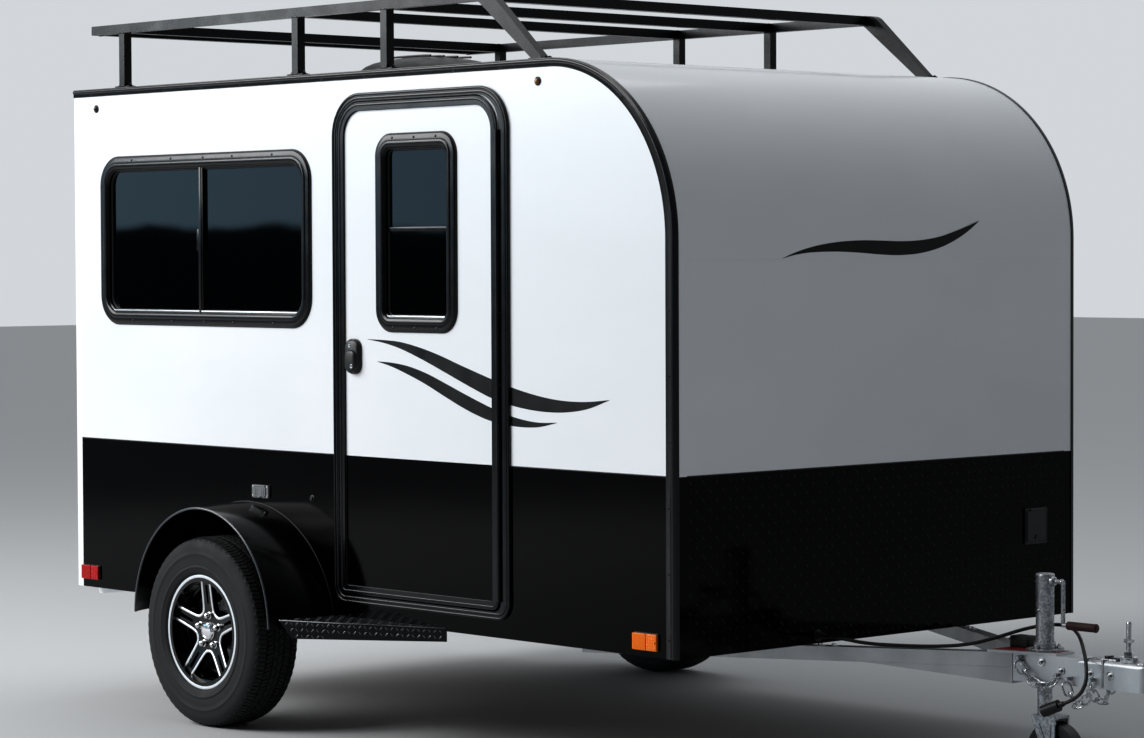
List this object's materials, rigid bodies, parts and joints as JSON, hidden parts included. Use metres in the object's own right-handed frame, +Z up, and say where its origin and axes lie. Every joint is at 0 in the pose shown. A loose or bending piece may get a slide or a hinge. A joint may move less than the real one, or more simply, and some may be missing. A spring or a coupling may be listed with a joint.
{
  "type": "box-bodied camping trailer with a rounded front",
  "caption": "Small single-axle camping trailer with a rounded front, entry door, rear ramp, roof rack and nose jack.",
  "frame": {"origin": "middle of the trailer's box on the ground", "axes": "+X forwards to the coupler, +Y to the left side, +Z up"},
  "size_m": [4.508, 2.446, 2.597],
  "materials": {
    "white_gelcoat": "smooth white gelcoat panel",
    "black_gelcoat": "glossy black gelcoat panel",
    "black_trim": "satin black extrusion",
    "white_frame": "white coated aluminium frame",
    "dark_glass": "tinted window glass",
    "deck": "sealed plywood deck",
    "mill_aluminium": "bare aluminium tube",
    "zinc_steel": "zinc plated steel",
    "black_steel": "satin black powder coat",
    "tyre_rubber": "black tyre rubber",
    "alloy": "machined and black alloy wheel",
    "red_lens": "red lamp lens",
    "amber_lens": "amber lamp lens",
    "black_plastic": "black moulded plastic",
    "grey_plastic": "grey moulded plastic",
    "grip_rubber": "dark red grip",
    "cable_jacket": "black cable jacket"
  },
  "bodies": {
    "trailer": {"wall_right_upper": "white_gelcoat", "wall_left_upper": "white_gelcoat", "wall_right_lower": "black_gelcoat", "wall_left_lower": "black_gelcoat", "roof_panel": "white_gelcoat", "front_lower_panel": "black_gelcoat", "floor": "deck", "corner_trims": "black_trim", "rear_frame": "white_frame", "ramp_hinge": "mill_aluminium", "door_surround": "black_trim", "door_hinge": "black_trim", "chain_tabs": "zinc_steel", "window_frames": "black_trim", "window_glass": "dark_glass", "vent_base": "grey_plastic", "rack_rails": "black_steel", "rack_crossbars": "black_steel", "chassis_rails": "mill_aluminium", "chassis_crossmembers": "mill_aluminium", "axle_beam": "black_steel", "torsion_arms": "black_steel", "fenders": "black_steel", "entry_step": "black_steel", "tongue_beams": "mill_aluminium", "coupler": "mill_aluminium", "coupler_plate": "mill_aluminium", "coupler_latch": "zinc_steel", "jack_tube": "zinc_steel", "jack_crank": "zinc_steel", "safety_chains": "zinc_steel", "front_markers": "amber_lens", "rear_lamps": "red_lens", "power_inlet": "grey_plastic", "front_hatch": "black_plastic", "jack_grip": "grip_rubber", "trailer_cable": "cable_jacket", "cable_plug": "black_plastic", "cable_gland": "black_plastic"},
    "entry_door": {"door_upper": "white_gelcoat", "door_lower": "black_gelcoat", "door_trim": "black_trim", "door_handle": "black_plastic", "door_window_frame": "black_trim", "door_glass": "dark_glass", "door_hinge_leaf": "black_trim"},
    "loading_ramp": {"ramp_door": "white_gelcoat", "ramp_locks": "zinc_steel", "plate_holder": "black_plastic", "ramp_hinge_leaf": "mill_aluminium"},
    "roof_vent": {"vent_lid": "black_plastic"},
    "wheel_right": {"tyre_right": "tyre_rubber", "rim_right": "alloy", "hub_right": "zinc_steel"},
    "wheel_left": {"tyre_left": "tyre_rubber", "rim_left": "alloy", "hub_left": "zinc_steel"},
    "jack_slide": {"jack_leg": "zinc_steel"},
    "jack_caster": {"jack_fork": "zinc_steel"},
    "jack_roller": {"jack_wheel": "black_plastic"}
  },
  "joints": [
    {"name": "door_swing", "type": "hinge", "parent": "trailer", "child": "entry_door", "pos_m": [0.289, -1.0025, 1.3], "axis": [0, 0, 1], "range_deg": [0, 165]},
    {"name": "ramp_drop", "type": "hinge", "parent": "trailer", "child": "loading_ramp", "pos_m": [-2.237, 0, 0.455], "axis": [0, -1, 0], "range_deg": [0, 103]},
    {"name": "vent_lift", "type": "hinge", "parent": "trailer", "child": "roof_vent", "pos_m": [-1.0247, 0, 2.376], "axis": [0, 1, 0], "range_deg": [0, 65]},
    {"name": "wheel_spin_right", "type": "hinge", "parent": "trailer", "child": "wheel_right", "pos_m": [-1.109, -1.1205, 0.3445], "axis": [0, 1, 0], "continuous": true},
    {"name": "wheel_spin_left", "type": "hinge", "parent": "trailer", "child": "wheel_left", "pos_m": [-1.109, 1.1205, 0.3445], "axis": [0, 1, 0], "continuous": true},
    {"name": "jack_lift", "type": "slide", "parent": "trailer", "child": "jack_slide", "axis": [0, 0, 1], "range_m": [0, 0.083]},
    {"name": "caster_swivel", "type": "hinge", "parent": "jack_slide", "child": "jack_caster", "pos_m": [1.812, 0, 0.2217], "axis": [0, 0, 1], "continuous": true},
    {"name": "caster_roll", "type": "hinge", "parent": "jack_caster", "child": "jack_roller", "pos_m": [1.857, 0, 0.1], "axis": [0, 1, 0], "continuous": true}
  ]
}
